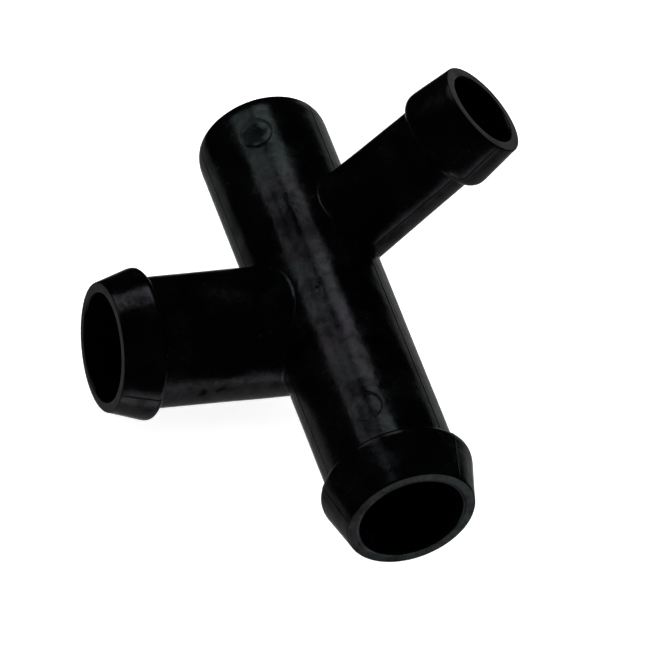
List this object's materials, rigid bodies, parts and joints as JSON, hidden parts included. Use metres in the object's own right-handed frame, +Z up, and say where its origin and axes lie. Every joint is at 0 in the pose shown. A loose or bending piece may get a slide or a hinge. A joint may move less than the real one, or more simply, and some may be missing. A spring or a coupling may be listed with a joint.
{
  "type": "barbed hose connector",
  "caption": "Black moulded hose connector: a straight run, barbed at its near end and plain at its far end, with a full-size barbed side branch and a smaller barbed branch set upwards.",
  "frame": {"origin": "centre of the bounding box in plan, at the height of the fitting's lowest point, under its left barb", "axes": "+Y along the run, from its barbed end to its plain end; -X along the full-size branch; +Z up; the smaller branch leaves the run in an XZ plane, 53.5 degrees above +X"},
  "size_m": [0.08, 0.0958, 0.0579],
  "materials": {
    "black_plastic": "black moulded plastic, satin, slightly mottled from the mould, with parting lines"
  },
  "bodies": {
    "root": {"run_tube": "black_plastic", "run_barb": "black_plastic", "left_branch_tube": "black_plastic", "left_barb": "black_plastic", "right_branch_tube": "black_plastic", "right_barb": "black_plastic"}
  },
  "joints": []
}
